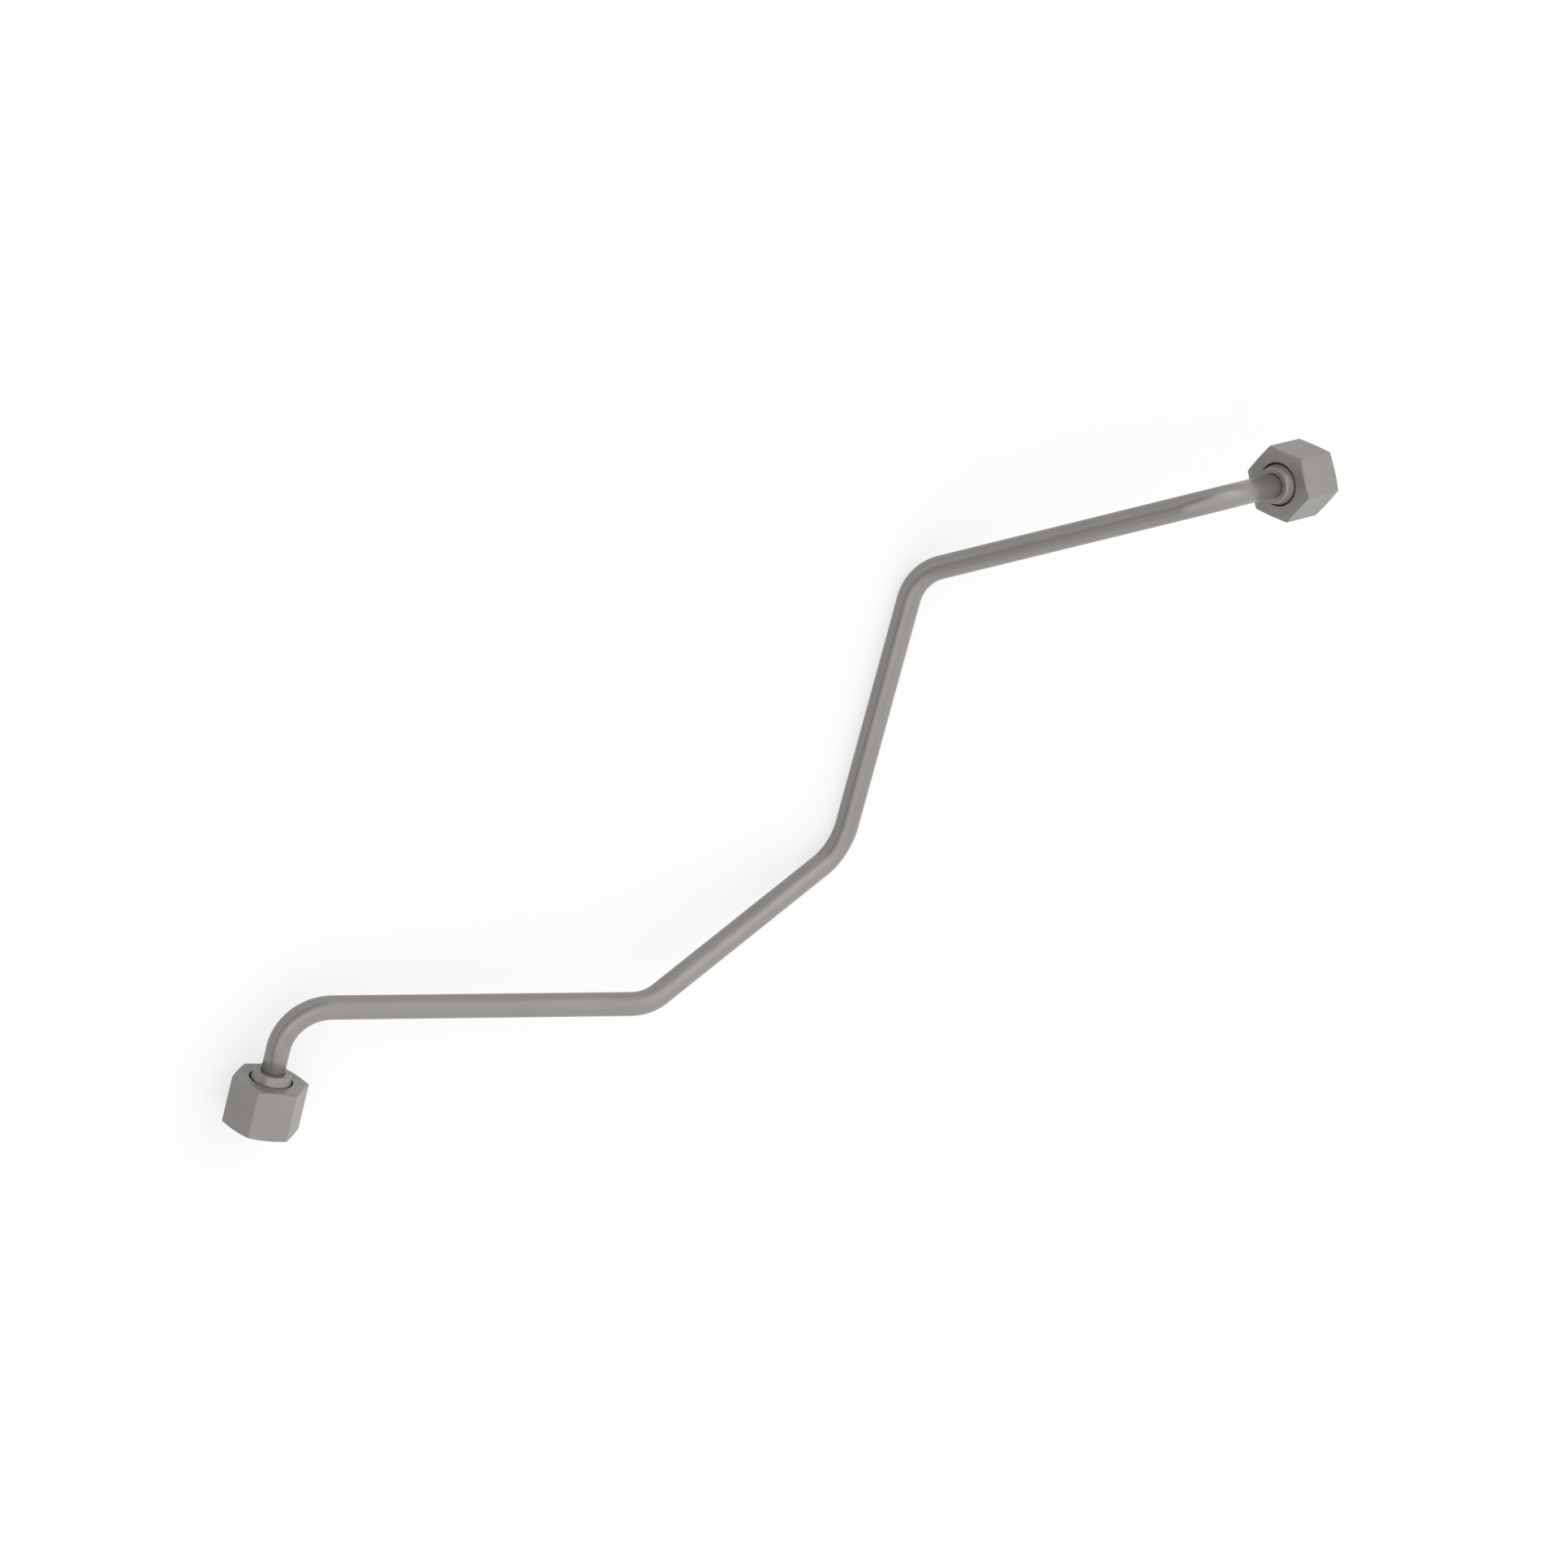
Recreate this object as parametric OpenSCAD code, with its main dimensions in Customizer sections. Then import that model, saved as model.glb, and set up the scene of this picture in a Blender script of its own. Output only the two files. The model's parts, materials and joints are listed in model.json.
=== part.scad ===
// Bent tube assembly: a steel tube bent in five places, with a brazed flat-face sleeve and a
// captive hexagon nut at each end. It lies as it comes to rest on a floor at z = 0, on its third
// run and on the left nut. The origin is on the floor, under the middle of the part.

/* [Tube] */
// Outer diameter of the tube
tube_d = 6; // [4:0.1:10]
// Wall thickness of the tube
tube_wall = 1; // [0.5:0.1:1.5]
// Centreline radius of every bend
bend_r = 12.8; // [8:0.1:30]

/* [Runs] */
// Free straight length between the left sleeve and the first bend
left_run = 6.1; // [1:0.1:80]
// Straight length of the first run
run_1 = 74.9; // [5:0.1:300]
// Heading of the first run, turned from +X towards +Y
run_1_heading = 9; // [-30:0.1:28]
// Climb of the first run above the floor
run_1_climb = 10.8; // [0:0.1:30]
// Straight length of the second run
run_2 = 58.6; // [5:0.1:300]
// Heading of the second run
run_2_heading = 32.3; // [29:0.1:60]
// Climb of the second run, negative as it comes down
run_2_climb = -19.1; // [-40:0.1:-5]
// Straight length of the third run, which lies on the floor and is parallel to the left end
run_3 = 61.9; // [5:0.1:300]
// Straight length of the fourth run
run_4 = 65; // [5:0.1:300]
// Heading of the fourth run
run_4_heading = 43.2; // [20:0.1:80]
// Climb of the fourth run
run_4_climb = 38.5; // [10:0.1:60]
// Free straight length between the last bend and the right sleeve
right_run = 14.5; // [1:0.1:80]
// Heading of the right end
right_heading = 6.9; // [-40:0.1:19]
// Climb of the right end, negative as it points down
right_climb = -22.7; // [-60:0.1:0]

/* [Sleeves] */
// Wall of the sleeve round the tube
sleeve_wall = 2.1; // [1:0.1:4]
// Length of the sleeve that stands out of the back of the nut
tail_reach = 2.25; // [1:0.05:8]
// How much that length tapers towards its end, in radius
tail_taper = 0.55; // [0:0.05:1]
// Broken edge round its end
tail_edge = 0.2; // [0.1:0.1:0.5]
// Height of the sealing flange's step above the tail
flange_step = 1.1; // [0.6:0.1:3]
// Thickness of the sealing flange
flange_t = 2.5; // [1.5:0.1:5]
// Broken edge round the sealing face
flange_edge = 0.3; // [0.1:0.1:0.5]
// Thickness of the sleeve in front of the tube's end
socket_floor = 2.5; // [1:0.1:4]

/* [Nuts] */
// Radial clearance between the nut's back hole and the sleeve
hole_clearance = 0.4; // [0.1:0.05:0.5]
// Radial clearance between the sealing flange and the thread's crests
flange_clearance = 0.2; // [0.1:0.05:0.5]
// Axial float between the flange and the shoulder it bears on
nut_float = 0.25; // [0.1:0.05:1]
// Thickness of the nut's back wall, from the shoulder to the back face
nut_back = 2.8; // [1.5:0.1:6]
// Radial depth of the thread, from its crest to its root
thread_depth = 0.75; // [0.4:0.05:1.2]
// Length of the full thread
thread_l = 5.25; // [3:0.05:15]
// Length of the relief in front of the sealing face
thread_lead = 0.4; // [0.2:0.1:2]
// Radial depth of the relief below the thread's root
relief_depth = 0.15; // [0.05:0.05:0.4]
// Wall of the nut between the relief and a flat
nut_wall = 1.2; // [0.8:0.1:4]
// Angle of the turned chamfer on the corners, measured from the face
chamfer_angle = 15; // [10:1:35]
// Distance from a flat in to the edge of the turned face
face_step = 0.3; // [0.1:0.1:0.8]
// Turn of the left nut, from a corner that points down
left_nut_turn = 37.9; // [0:0.1:60]
// Turn of the right nut, from a corner at the inside of the last bend
right_nut_turn = 31.7; // [0:0.1:60]

/* [Hidden] */
$fn = 96;
steel = "#a29f9b";
nut_steel = "#9a9793";
// Overshoot of a cut past the face that it opens
past = 1;
// Angle that a bend runs on before it is cut square
trim_angle = 5;

// Diameters, from the tube outwards
tube_bore = tube_d - 2 * tube_wall;
tail_d = tube_d + 2 * sleeve_wall;
tail_end_r = tail_d / 2 - min(tail_taper, 0.4 * sleeve_wall);
hole_d = tail_d + 2 * hole_clearance;
flange_d = tail_d + 2 * flange_step;
crest_d = flange_d + 2 * flange_clearance;
relief_d = crest_d + 2 * (thread_depth + relief_depth);
nut_af = relief_d + 2 * nut_wall;
corner_r = nut_af / 2 / cos(30);
face_r = nut_af / 2 - face_step;
corner_drop = (corner_r - face_r) * tan(chamfer_angle);

// Places along an end's axis, from its sealing face at 0 with the nut's mouth in front
taper = (relief_d - crest_d) / 2;
shoulder_z = -flange_t - nut_float;
back_z = shoulder_z - nut_back;
tail_z = back_z - tail_reach;
socket_z = -socket_floor;
thread_z = thread_lead + taper;
mouth_z = thread_z + thread_l;
front_z = mouth_z + taper;

// The six runs of the tube: the length of each and the way it points
function direction(heading, climb) =
    [cos(climb) * cos(heading), cos(climb) * sin(heading), sin(climb)];
ahead = [0, 1, 0];
down = [0, 0, -1];
run_dir = [
    ahead,
    direction(run_1_heading, run_1_climb),
    direction(run_2_heading, run_2_climb),
    ahead,
    direction(run_4_heading, run_4_climb),
    direction(right_heading, right_climb)
];
socket_l = socket_z - tail_z;
run_len = [socket_l + left_run, run_1, run_2, run_3, run_4, right_run + socket_l];
last = len(run_len) - 1;

// Each bend joins one run to the next with an arc that is tangent to both. A frame is carried
// along the tube: its Z points along the run, and after a bend its X points to the bend's inside.
function unit(v) = v / norm(v);
function bend_angle(i) = acos(run_dir[i] * run_dir[i + 1]);
function bend_tangent(i) = bend_r * tan(bend_angle(i) / 2);
function bend_inside(i) = unit(run_dir[i + 1] - run_dir[i] * cos(bend_angle(i)));
function run_x(i) = i == 0 ? down
    : unit(run_dir[i] * cos(bend_angle(i - 1)) - run_dir[i - 1]);
function bend_roll(i) =
    let (x = run_x(i), y = cross(run_dir[i], x))
    atan2(bend_inside(i) * y, bend_inside(i) * x);
function run_start(i) = i == 0 ? [0, 0, 0]
    : run_end(i - 1) + bend_tangent(i - 1) * (run_dir[i - 1] + run_dir[i]);
function run_end(i) = run_start(i) + run_len[i] * run_dir[i];

// Each end: the way it points, its X, the centre of its sealing face and the turn of its nut
LEFT = 0;
RIGHT = 1;
end_dir = [-run_dir[0], run_dir[last]];
end_x = [run_x(0), run_x(last)];
end_face = [
    run_start(0) + socket_floor * end_dir[LEFT],
    run_end(last) + socket_floor * end_dir[RIGHT]
];
nut_turn = [left_nut_turn, right_nut_turn];

// Outermost points of the nuts and the runs, for the place on the floor
function end_point(e, z, r, a) =
    end_face[e] + z * end_dir[e]
    + r * (cos(a) * end_x[e] + sin(a) * cross(end_dir[e], end_x[e]));
reach = [
    for (e = [LEFT, RIGHT], z = [back_z, front_z], a = [0:5:355])
        end_point(e, z, face_r, a),
    for (e = [LEFT, RIGHT], z = [back_z + corner_drop, front_z - corner_drop], a = [0:60:300])
        end_point(e, z, corner_r, a + nut_turn[e]),
    for (i = [0:last], p = [run_start(i), run_end(i)], s = [-1, 1])
        p + s * tube_d / 2 * [1, 1, 1]
];
low = [for (k = [0:2]) min([for (p = reach) p[k]])];
high = [for (k = [0:2]) max([for (p = reach) p[k]])];
rest_shift = [-(low.x + high.x) / 2, -(low.y + high.y) / 2, -low.z];

// Frame at the end of a run, turned so that its X points to the inside of the bend that follows
module at_bend(i) {
    at_run(i) translate([0, 0, run_len[i]]) rotate(bend_roll(i)) children();
}

// The same frame carried round the bend
module round_bend(i) {
    translate([bend_r, 0, 0]) rotate([0, bend_angle(i), 0]) translate([-bend_r, 0, 0]) children();
}

// Frame at the start of a run
module at_run(i) {
    if (i == 0) {
        translate(rest_shift) rotate([0, 90, 90]) children();
    } else {
        at_bend(i - 1) round_bend(i - 1) children();
    }
}

// Frame at the sealing face of an end, with Z pointing out of the nut's mouth
module at_end(e) {
    if (e == LEFT) {
        at_run(0) rotate([180, 0, 0]) translate([0, 0, socket_floor]) children();
    } else {
        at_run(last) translate([0, 0, run_len[last] + socket_floor]) children();
    }
}

// Section of the tube
module ring() {
    difference() {
        circle(d = tube_d);
        circle(d = tube_bore);
    }
}

// An arc that runs on past its angle and is cut square where the next run starts
module bend(i) {
    difference() {
        translate([bend_r, 0, 0]) rotate([90, 0, 180])
            rotate_extrude(angle = bend_angle(i) + trim_angle)
                translate([bend_r, 0]) ring();
        round_bend(i) translate([-tube_d, -tube_d, 0]) cube([2 * tube_d, 2 * tube_d, tube_d]);
    }
}

module tube() {
    color(steel) for (i = [0:last]) {
        at_run(i) linear_extrude(run_len[i]) ring();
        if (i < last) at_bend(i) bend(i);
    }
}

// Half section of a sleeve: tapered tail, flange, socket for the tube and bore
module sleeve_profile() {
    difference() {
        polygon([
            [0, tail_z],
            [tail_end_r - tail_edge, tail_z],
            [tail_end_r, tail_z + tail_edge],
            [tail_d / 2, back_z],
            [tail_d / 2, -flange_t],
            [flange_d / 2, -flange_t],
            [flange_d / 2, -flange_edge],
            [flange_d / 2 - flange_edge, 0],
            [0, 0]
        ]);
        translate([0, tail_z - past]) square([tube_d / 2, socket_l + past]);
        translate([0, socket_z - past]) square([tube_bore / 2, socket_floor + 2 * past]);
    }
}

module sleeve() {
    rotate_extrude() sleeve_profile();
}

module left_sleeve() {
    color(steel) at_end(LEFT) sleeve();
}

module right_sleeve() {
    color(steel) at_end(RIGHT) sleeve();
}

// Half section of the bar that the nut is turned from, with both faces chamfered
module nut_outside() {
    far_r = corner_r + past;
    drop = (far_r - face_r) * tan(chamfer_angle);
    polygon([
        [0, back_z],
        [face_r, back_z],
        [far_r, back_z + drop],
        [far_r, front_z - drop],
        [face_r, front_z],
        [0, front_z]
    ]);
}

// Half section of the nut's inside: back hole, shoulder, relief, thread crests and open mouth
module nut_inside() {
    polygon([
        [0, back_z - past],
        [hole_d / 2, back_z - past],
        [hole_d / 2, shoulder_z],
        [relief_d / 2, shoulder_z],
        [relief_d / 2, thread_lead],
        [crest_d / 2, thread_z],
        [crest_d / 2, mouth_z],
        [relief_d / 2, front_z],
        [relief_d / 2, front_z + past],
        [0, front_z + past]
    ]);
}

module nut() {
    difference() {
        intersection() {
            translate([0, 0, back_z]) cylinder(r = corner_r, h = front_z - back_z, $fn = 6);
            rotate_extrude() nut_outside();
        }
        rotate_extrude() nut_inside();
    }
}

module left_nut() {
    color(nut_steel) at_end(LEFT) rotate(left_nut_turn) nut();
}

module right_nut() {
    color(nut_steel) at_end(RIGHT) rotate(right_nut_turn) nut();
}

tube();
left_sleeve();
right_sleeve();
left_nut();
right_nut();
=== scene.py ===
import json
import math

import bmesh
import bpy
from mathutils import Matrix, Vector


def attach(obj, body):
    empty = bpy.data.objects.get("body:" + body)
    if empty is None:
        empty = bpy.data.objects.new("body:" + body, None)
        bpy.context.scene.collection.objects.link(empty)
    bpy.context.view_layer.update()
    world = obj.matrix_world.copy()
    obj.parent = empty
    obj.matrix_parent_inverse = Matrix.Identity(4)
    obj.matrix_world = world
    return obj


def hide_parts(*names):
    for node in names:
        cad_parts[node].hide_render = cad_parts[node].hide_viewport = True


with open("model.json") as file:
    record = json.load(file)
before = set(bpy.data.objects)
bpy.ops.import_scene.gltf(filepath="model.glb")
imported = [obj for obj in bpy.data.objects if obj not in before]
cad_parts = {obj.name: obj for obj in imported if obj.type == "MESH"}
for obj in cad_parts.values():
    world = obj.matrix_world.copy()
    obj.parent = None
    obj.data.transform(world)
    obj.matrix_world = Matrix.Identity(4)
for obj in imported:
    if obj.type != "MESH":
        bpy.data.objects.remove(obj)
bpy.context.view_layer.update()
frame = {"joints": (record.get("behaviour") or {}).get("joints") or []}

# The tube: seamless cold drawn steel, 6 mm across with a 1 mm wall, bent in five places round one
# former and zinc plated. Each end stands on the floor of its sleeve's socket, where it is brazed.
MM = 0.001
tube_d = 6 * MM
tube_wall = 1 * MM
bend_r = 12.8 * MM
socket_floor = 2.5 * MM
tube_sides = 72
bend_steps = 32
# Straight length in mm, heading from +X towards +Y and climb above the floor in degrees
bend_programme = [
    (11.4, 90, 0),
    (74.9, 9, 10.8),
    (58.6, 32.3, -19.1),
    (61.9, 90, 0),
    (65, 43.2, 38.5),
    (19.8, 6.9, -22.7),
]
# Each end's sealing face and the way that its nut's mouth points
ends = {joint["child"]: (Vector(joint["pos_m"]), Vector(joint["axis"])) for joint in frame["joints"]}
zinc_pale = "#999692"
zinc_dark = "#817e7a"
zinc_metallic = 0.45
zinc_cloud = 14 * MM
# Share of the shading that follows the marks in the steel, where the rest follows the clouds
zinc_streaks = 0.5
zinc_dulling = 0.1
# Size of a mark along each axis of the attribute tool_marks
drawn_mark = (0.35 * MM, 0.35 * MM, 25 * MM)


def pointing(heading, climb):
    """The way that a run points, from its heading and its climb in degrees."""
    turn, rise = math.radians(heading), math.radians(climb)
    return Vector((math.cos(rise) * math.cos(turn), math.cos(rise) * math.sin(turn), math.sin(rise)))


def tube_corners(ways):
    """The tube's start, the five points where its runs would meet, and its end."""
    face, mouth = ends["left_nut"]
    corners = [face - socket_floor * mouth]
    behind = 0
    for (length, _, _), way, next_way in zip(bend_programme, ways, ways[1:] + ways[-1:]):
        ahead = bend_r * math.tan(way.angle(next_way) / 2)
        corners.append(corners[-1] + way * (behind + length * MM + ahead))
        behind = ahead
    return corners


def add(tree, kind, inputs=None, **settings):
    """A node with its settings, and each of its inputs given a value or linked to an output."""
    node = tree.nodes.new(kind)
    for name, value in settings.items():
        setattr(node, name, value)
    for name, value in (inputs or {}).items():
        if isinstance(value, bpy.types.NodeSocket):
            tree.links.new(value, node.inputs[name])
        else:
            node.inputs[name].default_value = value
    return node


def geometry_tree(name, sizes):
    """A Geometry Nodes tree that takes a shape and named sizes and gives back a shape."""
    tree = bpy.data.node_groups.new(name, "GeometryNodeTree")
    tree.interface.new_socket("Geometry", in_out="OUTPUT", socket_type="NodeSocketGeometry")
    tree.interface.new_socket("Geometry", in_out="INPUT", socket_type="NodeSocketGeometry")
    for size, kind in sizes.items():
        tree.interface.new_socket(size, in_out="INPUT", socket_type=kind)
    return tree, tree.nodes.new("NodeGroupInput").outputs


def end_tree(tree, shape, material):
    """Ends a tree in one whole mesh of one material."""
    whole = add(tree, "GeometryNodeRealizeInstances", {"Geometry": shape})
    done = add(tree, "GeometryNodeSetMaterial", {
        "Geometry": whole.outputs["Geometry"], "Material": material})
    add(tree, "NodeGroupOutput", {"Geometry": done.outputs["Geometry"]})


def keep_shape(obj):
    """Makes what the modifiers give the object's own mesh."""
    evaluated = obj.evaluated_get(bpy.context.evaluated_depsgraph_get())
    shape = bpy.data.meshes.new_from_object(evaluated)
    obj.modifiers.clear()
    obj.data = shape


def grow(obj, tree, sizes):
    """Runs a tree on an object with these sizes and keeps the result as a plain mesh."""
    modifier = obj.modifiers.new(tree.name, "NODES")
    modifier.node_group = tree
    for item in tree.interface.items_tree:
        if item.in_out == "INPUT" and item.name in sizes:
            modifier[item.identifier] = sizes[item.name]
    keep_shape(obj)


def new_piece(name, points, edges, faces):
    """An object at the origin with a mesh of these points."""
    mesh = bpy.data.meshes.new(name)
    mesh.from_pydata(points, edges, faces)
    obj = bpy.data.objects.new(name, mesh)
    bpy.context.scene.collection.objects.link(obj)
    return obj


def face_outwards(mesh):
    """Turns every face of a shell to the outside."""
    shell = bmesh.new()
    shell.from_mesh(mesh)
    bmesh.ops.recalc_face_normals(shell, faces=shell.faces)
    shell.to_mesh(mesh)
    shell.free()


def bent_tube_tree():
    """Rounds the corners of a line and sweeps the tube's skin along it. The attribute tool_marks
    keeps where each point lay on the tube before it was bent."""
    sizes = {"Diameter": "NodeSocketFloat", "Bend Radius": "NodeSocketFloat", "Sides": "NodeSocketInt",
             "Bend Steps": "NodeSocketInt", "Material": "NodeSocketMaterial"}
    tree, given = geometry_tree("bent tube", sizes)
    line = add(tree, "GeometryNodeMeshToCurve", {"Mesh": given["Geometry"]})
    bent = add(tree, "GeometryNodeFilletCurve", {
        "Curve": line.outputs["Curve"], "Count": given["Bend Steps"],
        "Radius": given["Bend Radius"]}, mode="POLY")
    along = add(tree, "GeometryNodeCaptureAttribute", {"Geometry": bent.outputs["Curve"]})
    along.capture_items.new("FLOAT", "Along")
    tree.links.new(add(tree, "GeometryNodeSplineParameter").outputs["Length"], along.inputs["Along"])
    half = add(tree, "ShaderNodeMath", {0: given["Diameter"], 1: 0.5}, operation="MULTIPLY")
    circle = add(tree, "GeometryNodeCurvePrimitiveCircle", {
        "Resolution": given["Sides"], "Radius": half.outputs[0]})
    across = add(tree, "GeometryNodeCaptureAttribute", {"Geometry": circle.outputs["Curve"]})
    across.capture_items.new("VECTOR", "Across")
    tree.links.new(add(tree, "GeometryNodeInputPosition").outputs[0], across.inputs["Across"])
    skin = add(tree, "GeometryNodeCurveToMesh", {
        "Curve": along.outputs["Geometry"], "Profile Curve": across.outputs["Geometry"]})
    parts = add(tree, "ShaderNodeSeparateXYZ", {0: across.outputs["Across"]})
    straight = add(tree, "ShaderNodeCombineXYZ", {
        "X": parts.outputs["X"], "Y": parts.outputs["Y"], "Z": along.outputs["Along"]})
    marked = add(tree, "GeometryNodeStoreNamedAttribute", {
        "Geometry": skin.outputs["Mesh"], "Name": "tool_marks", "Value": straight.outputs[0]},
        data_type="FLOAT_VECTOR", domain="POINT")
    smooth = add(tree, "GeometryNodeSetShadeSmooth", {"Geometry": marked.outputs["Geometry"]})
    end_tree(tree, smooth.outputs["Geometry"], given["Material"])
    return tree


def linear(colour):
    """An sRGB hex colour as linear red, green, blue and alpha."""
    shares = [int(colour[i:i + 2], 16) / 255 for i in (1, 3, 5)]
    return [s / 12.92 if s <= 0.04045 else ((s + 0.055) / 1.055) ** 2.4 for s in shares] + [1]


# Places of a Mix node's sockets for two numbers, two colours and the mixed colour, which share names
number_a, number_b, colour_a, colour_b, colour_mixed = 2, 3, 6, 7, 2


def plated_steel(name, mark, scratch, crystal, tilt, roughness):
    """Satin zinc plated steel. The passivated zinc mirrors about half of the light, softly, and
    scatters the rest. It clouds a little, is streaked by the fine marks of the steel below it, which
    have this size along each axis of the attribute tool_marks, and sparkles where its crystals tilt."""
    material = bpy.data.materials.new(name)
    material.use_nodes = True
    tree = material.node_tree
    shader = tree.nodes["Principled BSDF"]
    shader.inputs["Metallic"].default_value = zinc_metallic
    where = add(tree, "ShaderNodeTexCoord").outputs["Object"]
    clouds = add(tree, "ShaderNodeTexNoise", {"Vector": where, "Scale": 1 / zinc_cloud, "Detail": 3})
    marks = add(tree, "ShaderNodeAttribute", attribute_name="tool_marks")
    stretch = add(tree, "ShaderNodeMapping", {
        "Vector": marks.outputs["Vector"], "Scale": [1 / size for size in mark]})
    lines = add(tree, "ShaderNodeTexNoise", {
        "Vector": stretch.outputs["Vector"], "Scale": 1, "Detail": 2})
    shade = add(tree, "ShaderNodeMix", {
        "Factor": zinc_streaks, number_a: clouds.outputs["Fac"], number_b: lines.outputs["Fac"]})
    colour = add(tree, "ShaderNodeMix", {
        "Factor": shade.outputs[0], colour_a: linear(zinc_pale), colour_b: linear(zinc_dark)},
        data_type="RGBA")
    tree.links.new(colour.outputs[colour_mixed], shader.inputs["Base Color"])
    dull = add(tree, "ShaderNodeMapRange", {
        "Value": shade.outputs[0], "To Min": roughness - zinc_dulling,
        "To Max": roughness + zinc_dulling})
    tree.links.new(dull.outputs["Result"], shader.inputs["Roughness"])
    grooves = add(tree, "ShaderNodeBump", {
        "Height": lines.outputs["Fac"], "Distance": scratch, "Strength": 1})
    crystals = add(tree, "ShaderNodeTexVoronoi", {"Vector": where, "Scale": 1 / crystal})
    mid_colour = (0.5, 0.5, 0.5)
    lean = add(tree, "ShaderNodeVectorMath", {
        0: crystals.outputs["Color"], 1: mid_colour}, operation="SUBTRACT")
    lean = add(tree, "ShaderNodeVectorMath", {0: lean.outputs[0], "Scale": tilt}, operation="SCALE")
    tilted = add(tree, "ShaderNodeVectorMath", {
        0: grooves.outputs["Normal"], 1: lean.outputs[0]}, operation="ADD")
    facet = add(tree, "ShaderNodeVectorMath", {0: tilted.outputs[0]}, operation="NORMALIZE")
    tree.links.new(facet.outputs[0], shader.inputs["Normal"])
    return material


# Faint lines from the drawing die follow the tube round its bends. They and the zinc's crystals are
# drawn coarser than real ones, so that they show.
tube_steel = plated_steel("drawn_steel_satin_zinc", drawn_mark, scratch=0.025 * MM, crystal=0.3 * MM,
                          tilt=0.04, roughness=0.3)
run_ways = [pointing(heading, climb) for _, heading, climb in bend_programme]
corner_pairs = [(i, i + 1) for i in range(len(bend_programme))]
tube = new_piece("bent_tube", tube_corners(run_ways), corner_pairs, [])
grow(tube, bent_tube_tree(), {
    "Diameter": tube_d, "Bend Radius": bend_r, "Sides": tube_sides, "Bend Steps": bend_steps,
    "Material": tube_steel})
face_outwards(tube.data)
wall = tube.modifiers.new("wall", "SOLIDIFY")
wall.thickness = tube_wall
wall.offset = -1
wall.use_even_offset = True
keep_shape(tube)
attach(tube, "tube")
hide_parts("tube")

# The sleeves: turned steel, brazed on to the tube before plating. The wide flange carries the flat
# sealing face, and the tail stands out of the back of the nut and tapers to a flat end.
sleeve_bore = 4 * MM
tail_d = 10.2 * MM
tail_end_d = 9.1 * MM
tail_z = -7.8 * MM
taper_z = -5.55 * MM
tail_edge = 0.2 * MM
socket_edge = 0.1 * MM
flange_d = 12.4 * MM
flange_t = 2.5 * MM
flange_edge = 0.3 * MM
broken_edge = 0.06 * MM
sleeve_columns = 120
turned_mark = (0.2 * MM, 0.2 * MM, 4 * MM)


def end_place(nut):
    """The frame of an end of the tube: Z points out of the nut's mouth, and X points down at the
    left end and to the inside of the last bend at the right one."""
    face, z = ends[nut]
    x = Vector((0, 0, -1))
    if nut == "right_nut":
        x = (z * z.dot(run_ways[-2]) - run_ways[-2]).normalized()
    place = Matrix((x, z.cross(x), z)).transposed().to_4x4()
    place.translation = face
    return place


def break_edges(section, edge):
    """A closed section with a small round at each corner, and a point on either side of the round
    that keeps the face there flat."""
    # The largest share of an edge that a round takes, and how far its middle and the points beside it
    # lie from the corner, in lengths of the round
    most, sag, hold = 0.25, 0.3, 1.7
    soft = []
    for before, corner, after in zip(section[-1:] + section[:-1], section, section[1:] + section[:1]):
        corner = Vector(corner)
        back, on = Vector(before) - corner, Vector(after) - corner
        reach = min(edge, most * back.length, most * on.length)
        back, on = back.normalized() * reach, on.normalized() * reach
        soft += [corner + hold * back, corner + back, corner + sag * (back + on)]
        soft += [corner + on, corner + hold * on]
    return soft


def spin(name, columns):
    """A closed solid round its own axis, from the half section at each angle in degrees."""
    points = []
    for angle, section in columns:
        a = math.radians(angle)
        points += [(r * math.cos(a), r * math.sin(a), z) for r, z in section]
    rows = len(columns[0][1])
    faces = []
    for i in range(len(columns)):
        here, there = i * rows, (i + 1) % len(columns) * rows
        for j in range(rows):
            k = (j + 1) % rows
            faces.append((here + j, there + j, there + k, here + k))
    obj = new_piece(name, points, [], faces)
    face_outwards(obj.data)
    obj.data.shade_smooth()
    return obj


def set_at_end(obj, place, marks):
    """Keeps where each point lies among the tool marks, then puts the mesh at its end of the tube."""
    mesh = obj.data
    kept = mesh.attributes.new("tool_marks", "FLOAT_VECTOR", "POINT")
    kept.data.foreach_set("vector", [value for vertex in mesh.vertices for value in marks(vertex.co)])
    mesh.transform(place)


def turned_rings(point):
    """Rings that the turning tool leaves about the axis, a little uneven from side to side."""
    return math.hypot(point.x, point.y), point.z, point.x


def sleeve_section():
    """Half section of a sleeve: bore, socket for the tube, tail and sealing flange."""
    tail_r, end_r, flange_r = tail_d / 2, tail_end_d / 2, flange_d / 2
    bore_r, socket_r = sleeve_bore / 2, tube_d / 2
    return break_edges([
        (bore_r, 0),
        (bore_r, -socket_floor),
        (socket_r, -socket_floor),
        (socket_r, tail_z + socket_edge),
        (socket_r + socket_edge, tail_z),
        (end_r - tail_edge, tail_z),
        (end_r, tail_z + tail_edge),
        (tail_r, taper_z),
        (tail_r, -flange_t),
        (flange_r, -flange_t),
        (flange_r, -flange_edge),
        (flange_r - flange_edge, 0),
    ], broken_edge)


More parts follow.
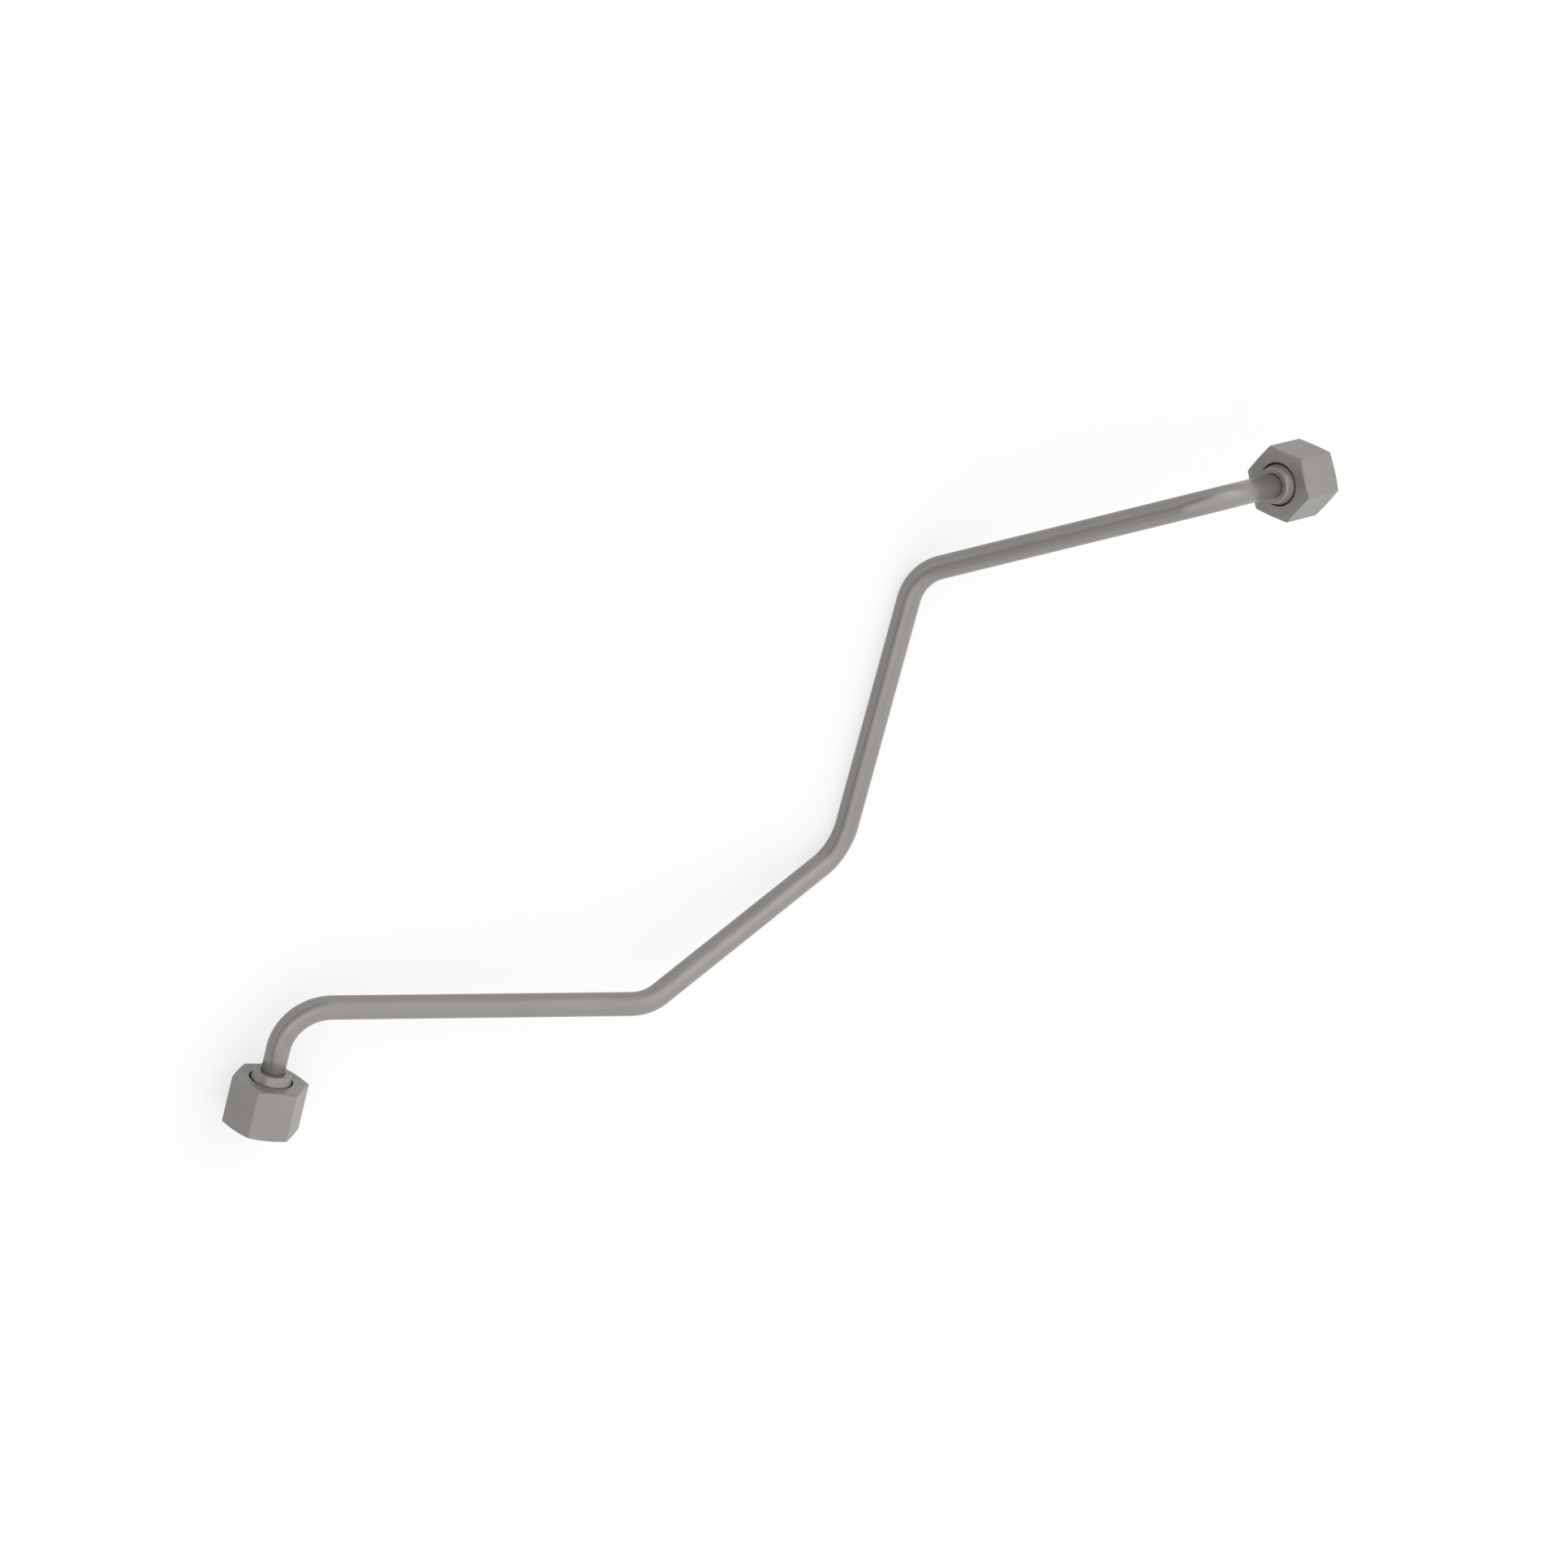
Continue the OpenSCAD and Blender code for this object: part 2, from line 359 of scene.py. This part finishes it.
# Fine rings from the turning tool, wider apart than real ones so that they show
sleeve_steel = plated_steel("turned_steel_satin_zinc", turned_mark, scratch=0.012 * MM,
                            crystal=0.25 * MM, tilt=0.06, roughness=0.36)
for side in ("left", "right"):
    sleeve = spin(side + "_sleeve_turned", [
        (360 * i / sleeve_columns, sleeve_section()) for i in range(sleeve_columns)])
    sleeve.data.materials.append(sleeve_steel)
    set_at_end(sleeve, end_place(side + "_nut"), turned_rings)
    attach(sleeve, "tube")
    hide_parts(side + "_sleeve")

# The nuts: drawn hexagon bar, bored, threaded and chamfered on the lathe. Each turns freely on its
# sleeve, bears on the back of the flange and screws on to a fitting by a fine inside thread.
hexagon_sides = 6
nut_af = 17 * MM
nut_hole = 11 * MM
nut_back_z = -5.55 * MM
nut_front_z = 7.45 * MM
shoulder_z = -2.75 * MM
relief_d = 14.6 * MM
relief_z = 0.4 * MM
face_step = 0.3 * MM
chamfer_angle = 15
bar_corner = 0.25 * MM
corner_step = 12
flat_steps = 12
nut_edge = 0.1 * MM
thread_root_d = 14.3 * MM
thread_crest_d = 12.8 * MM
thread_pitch = 1.411 * MM
thread_angle = 60
thread_turns = 4.0
thread_steps = 64
# Share of the thread's length over which each end runs out, share of the pitch that is flat crest, and
# how deep the foot of the ridge lies in the wall
thread_run_out = 0.08
thread_crest_share = 0.25
thread_sink = 0.12 * MM
bar_mark = (0.25 * MM, 0.25 * MM, 12 * MM)
nut_turn = {"left_nut": 37.9, "right_nut": 31.7}


def hexagon_columns(turn):
    """Angle and radius of points round a hexagon bar with slightly rounded corners. They lie closest
    beside the corners, which keeps the flats flat."""
    side = 360 // hexagon_sides
    half_side = side // 2
    corner_out = (nut_af / 2 - bar_corner) / math.cos(math.radians(half_side))
    flat_half = (nut_af / 2 - bar_corner) * math.tan(math.radians(half_side))
    columns = []
    for k in range(hexagon_sides):
        for degrees in range(-half_side, half_side + 1, corner_step):
            a = math.radians(degrees)
            x, y = corner_out + bar_corner * math.cos(a), bar_corner * math.sin(a)
            columns.append((turn + side * k + math.degrees(math.atan2(y, x)), math.hypot(x, y)))
        for i in range(flat_steps):
            out = flat_half * math.cos(math.pi * (i + 0.5) / flat_steps)
            angle = half_side - math.degrees(math.atan2(out, nut_af / 2))
            columns.append((turn + side * k + angle, math.hypot(out, nut_af / 2)))
    return columns


def nut_section(radius):
    """Half section of a nut where its bar has this radius: hole, chamfered hexagon, mouth, threaded
    bore, relief and the shoulder that bears on the flange."""
    face_r = nut_af / 2 - face_step
    drop = (radius - face_r) * math.tan(math.radians(chamfer_angle))
    mouth_r, root_r = relief_d / 2, thread_root_d / 2
    return break_edges([
        (nut_hole / 2, nut_back_z),
        (face_r, nut_back_z),
        (radius, nut_back_z + drop),
        (radius, nut_front_z - drop),
        (face_r, nut_front_z),
        (mouth_r, nut_front_z),
        (root_r, nut_front_z - mouth_r + root_r),
        (root_r, relief_z + mouth_r - root_r),
        (mouth_r, relief_z),
        (mouth_r, shoulder_z),
        (nut_hole / 2, shoulder_z),
    ], nut_edge)


def nut_thread_tree():
    """Adds the ridge of an inside thread to a nut: a trapezoid swept along a helix that sinks into
    the wall at both ends."""
    sizes = {name: "NodeSocketFloat" for name in ("Root Radius", "Depth", "Pitch", "Start", "Turns")}
    sizes |= {"Steps a Turn": "NodeSocketInt", "Material": "NodeSocketMaterial"}
    tree, given = geometry_tree("nut thread", sizes)
    flank_spread = 2 * math.tan(math.radians(thread_angle / 2))
    rise = add(tree, "ShaderNodeMath", {0: given["Pitch"], 1: given["Turns"]}, operation="MULTIPLY")
    helix = add(tree, "GeometryNodeCurveSpiral", {
        "Resolution": given["Steps a Turn"], "Rotations": given["Turns"],
        "Start Radius": given["Root Radius"], "End Radius": given["Root Radius"],
        "Height": rise.outputs[0]})
    from_start = add(tree, "GeometryNodeSplineParameter").outputs["Factor"]
    from_end = add(tree, "ShaderNodeMath", {0: 1, 1: from_start}, operation="SUBTRACT")
    nearer = add(tree, "ShaderNodeMath", {0: from_start, 1: from_end.outputs[0]}, operation="MINIMUM")
    sunk = add(tree, "ShaderNodeMapRange", {
        "Value": nearer.outputs[0], "From Max": thread_run_out, "To Min": given["Depth"], "To Max": 0},
        interpolation_type="SMOOTHSTEP")
    place = add(tree, "GeometryNodeInputPosition").outputs[0]
    flat = add(tree, "ShaderNodeVectorMath", {0: place, 1: (1, 1, 0)}, operation="MULTIPLY")
    way = add(tree, "ShaderNodeVectorMath", {0: flat.outputs[0]}, operation="NORMALIZE")
    push = add(tree, "ShaderNodeVectorMath", {
        0: way.outputs[0], "Scale": sunk.outputs["Result"]}, operation="SCALE")
    lift = add(tree, "ShaderNodeCombineXYZ", {"Z": given["Start"]})
    move = add(tree, "ShaderNodeVectorMath", {0: push.outputs[0], 1: lift.outputs[0]}, operation="ADD")
    moved = add(tree, "GeometryNodeSetPosition", {
        "Geometry": helix.outputs["Curve"], "Offset": move.outputs[0]})
    upright = add(tree, "GeometryNodeSetCurveNormal", {"Curve": moved.outputs["Geometry"]}, mode="Z_UP")
    deep = add(tree, "ShaderNodeMath", {0: given["Depth"], 1: thread_sink}, operation="ADD")
    crest = add(tree, "ShaderNodeMath", {0: given["Pitch"], 1: thread_crest_share}, operation="MULTIPLY")
    base = add(tree, "ShaderNodeMath", {
        0: deep.outputs[0], 1: flank_spread, 2: crest.outputs[0]}, operation="MULTIPLY_ADD")
    ridge = add(tree, "GeometryNodeCurvePrimitiveQuadrilateral", {
        "Height": deep.outputs[0], "Bottom Width": base.outputs[0], "Top Width": crest.outputs[0],
        "Offset": 0}, mode="TRAPEZOID")
    thread = add(tree, "GeometryNodeCurveToMesh", {
        "Curve": upright.outputs["Curve"], "Profile Curve": ridge.outputs["Curve"], "Fill Caps": True})
    both = add(tree, "GeometryNodeJoinGeometry", {"Geometry": given["Geometry"]})
    tree.links.new(thread.outputs["Mesh"], both.inputs["Geometry"])
    end_tree(tree, both.outputs["Geometry"], given["Material"])
    return tree


# Faint lines run along the drawn bar, and end as a fine grain on the faces that are cut across it
nut_steel = plated_steel("hexagon_bar_steel_satin_zinc", bar_mark, scratch=0.02 * MM,
                         crystal=0.25 * MM, tilt=0.16, roughness=0.36)
thread_tree = nut_thread_tree()
for name, turn in nut_turn.items():
    nut = spin(name + "_threaded", [
        (angle, nut_section(radius)) for angle, radius in hexagon_columns(turn)])
    grow(nut, thread_tree, {
        "Root Radius": thread_root_d / 2, "Depth": (thread_root_d - thread_crest_d) / 2,
        "Pitch": thread_pitch, "Start": relief_z + thread_pitch / 2, "Turns": thread_turns,
        "Steps a Turn": thread_steps, "Material": nut_steel})
    set_at_end(nut, end_place(name), tuple)
    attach(nut, name)
    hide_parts(name)

# The floor: a wide sheet of matt white card that the part lies on. It shows white to the eye and in
# the metal, and darkens a little where the part keeps the light off it.
floor_half = 6.0
card_white = "#ffffff"
# Share of the light that the card scatters, and the glow added to it for the eye and in the metal
card_share = 0.25
card_glow = 0.705
floor_corners = [(-1, -1), (1, -1), (1, 1), (-1, 1)]
floor = new_piece("floor", [(x * floor_half, y * floor_half, 0) for x, y in floor_corners],
                  [], [(0, 1, 2, 3)])
card = bpy.data.materials.new("matt_white_card")
card.use_nodes = True
card_tree = card.node_tree
card_tree.nodes.clear()
rays = add(card_tree, "ShaderNodeLightPath").outputs
seen = rays["Is Camera Ray"]
for ray in ("Is Glossy Ray", "Is Transmission Ray"):
    seen = add(card_tree, "ShaderNodeMath", {0: seen, 1: rays[ray]}, operation="MAXIMUM").outputs[0]
white = add(card_tree, "ShaderNodeMath", {0: seen, 1: card_glow}, operation="MULTIPLY")
glow = add(card_tree, "ShaderNodeEmission", {"Color": linear(card_white), "Strength": white.outputs[0]})
matt = add(card_tree, "ShaderNodeBsdfDiffuse", {"Color": [card_share] * 3 + [1]})
card_look = add(card_tree, "ShaderNodeAddShader", {0: matt.outputs[0], 1: glow.outputs[0]})
add(card_tree, "ShaderNodeOutputMaterial", {"Surface": card_look.outputs[0]})
floor.data.materials.append(card)

# The light: a soft dome, bright on the right, dim on the left and dark low down there, with two broad
# soft boxes: a low one beyond the right end and a high one on the left. A white haze lies all round
# the horizon and hides the far edge of the floor.
dome_way = pointing(heading=-5, climb=40)
dome_bright, dome_dim = 1.1, 0.6
# Cosine of the angle from dome_way to the end of the bright side, and half the width of its soft border
dome_edge, dome_soft = 0.05, 0.08
# Heights where the haze starts to thin, where it ends and where the dim side has its full level
haze_from, haze_top, dim_from = [math.sin(math.radians(climb)) for climb in (9, 13, 34)]
# Heading and climb in degrees, strength, and how far the glow spreads
soft_boxes = [(56, 30, 0.9, 0.13), (183, 56, 0.9, 0.08)]
world = bpy.data.worlds.new("studio")
bpy.context.scene.world = world
world.use_nodes = True
sky = world.node_tree
sky.nodes.clear()
look = add(sky, "ShaderNodeTexCoord").outputs["Generated"]
height = add(sky, "ShaderNodeSeparateXYZ", {0: look}).outputs["Z"]
dim_side = add(sky, "ShaderNodeMapRange", {
    "Value": height, "From Min": haze_top, "From Max": dim_from, "To Max": dome_dim},
    interpolation_type="SMOOTHSTEP")
facing = add(sky, "ShaderNodeVectorMath", {0: look, 1: dome_way}, operation="DOT_PRODUCT")
level = add(sky, "ShaderNodeMapRange", {
    "Value": facing.outputs["Value"], "From Min": dome_edge - dome_soft,
    "From Max": dome_edge + dome_soft, "To Min": dim_side.outputs["Result"], "To Max": dome_bright},
    interpolation_type="SMOOTHSTEP").outputs["Result"]
for heading, climb, strength, spread in soft_boxes:
    facing = add(sky, "ShaderNodeVectorMath", {
        0: look, 1: pointing(heading, climb)}, operation="DOT_PRODUCT")
    away = add(sky, "ShaderNodeMath", {
        0: facing.outputs["Value"], 1: 1 / spread, 2: -1 / spread}, operation="MULTIPLY_ADD")
    box = add(sky, "ShaderNodeMath", {0: away.outputs[0]}, operation="EXPONENT")
    level = add(sky, "ShaderNodeMath", {
        0: box.outputs[0], 1: strength, 2: level}, operation="MULTIPLY_ADD").outputs[0]
haze = add(sky, "ShaderNodeMapRange", {
    "Value": height, "From Min": haze_from, "From Max": haze_top, "To Min": 1, "To Max": 0},
    interpolation_type="SMOOTHSTEP")
level = add(sky, "ShaderNodeMix", {
    "Factor": haze.outputs["Result"], number_a: level, number_b: 1}).outputs[0]
studio = add(sky, "ShaderNodeBackground", {"Color": (1, 1, 1, 1), "Strength": level})
add(sky, "ShaderNodeOutputWorld", {"Surface": studio.outputs[0]})

# The camera: a long lens that looks down on the part from behind its left end, rolled so that the
# part runs up to the right.
lens_mm = 112.34
sensor_mm = 36
camera_target = Vector((3.13, -1.79, 20)) * MM
camera_distance = 1216.18 * MM
camera_azimuth = 146.247
camera_elevation = 54.882
camera_roll = 133.715
back = pointing(camera_azimuth, camera_elevation)
level_right = Vector((0, 0, 1)).cross(back).normalized()
right = Matrix.Rotation(math.radians(camera_roll), 3, back) @ level_right
lens = bpy.data.cameras.new("camera")
lens.lens = lens_mm
lens.sensor_width = sensor_mm
camera = bpy.data.objects.new("camera", lens)
bpy.context.scene.collection.objects.link(camera)
camera.matrix_world = Matrix((right, back.cross(right), back)).transposed().to_4x4()
camera.location = camera_target + back * camera_distance
bpy.context.scene.camera = camera
bpy.context.scene.view_settings.view_transform = "Standard"
